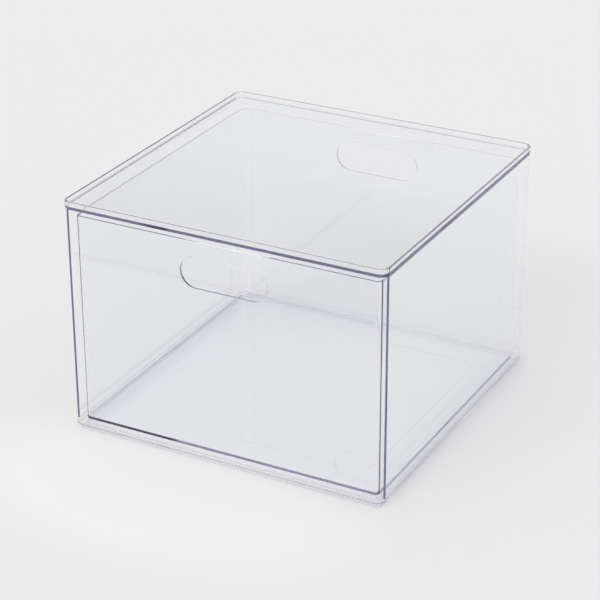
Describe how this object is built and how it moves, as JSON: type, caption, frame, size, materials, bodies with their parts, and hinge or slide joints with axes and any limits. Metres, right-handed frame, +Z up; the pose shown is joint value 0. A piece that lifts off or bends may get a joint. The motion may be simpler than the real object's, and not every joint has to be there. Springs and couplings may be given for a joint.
{
  "type": "storage drawer",
  "caption": "Stackable clear plastic storage drawer: an open-fronted case with a pull-out bin that has a finger slot at the front and the back.",
  "frame": {"origin": "on the resting surface, under the middle of the case", "axes": "+X to the right of someone facing the drawer, +Y to the back, +Z up; the drawer opens towards -Y"},
  "size_m": [0.305, 0.305, 0.22],
  "materials": {
    "base_plastic": "clear, glossy, with a faint violet tint seen through the edges",
    "shell_plastic": "clear, glossy, with a faint violet tint seen through the edges",
    "top_plastic": "clear, glossy, with a faint violet tint seen through the edges",
    "drawer_plastic": "clear, glossy, with a faint violet tint seen through the edges"
  },
  "bodies": {
    "case": {"base_panel": "base_plastic", "case_shell": "shell_plastic", "top_panel": "top_plastic"},
    "drawer_bin": {"drawer": "drawer_plastic"}
  },
  "joints": [
    {"name": "drawer_slide", "type": "slide", "parent": "case", "child": "drawer_bin", "axis": [0, -1, 0], "range_m": [0, 0.22]}
  ]
}
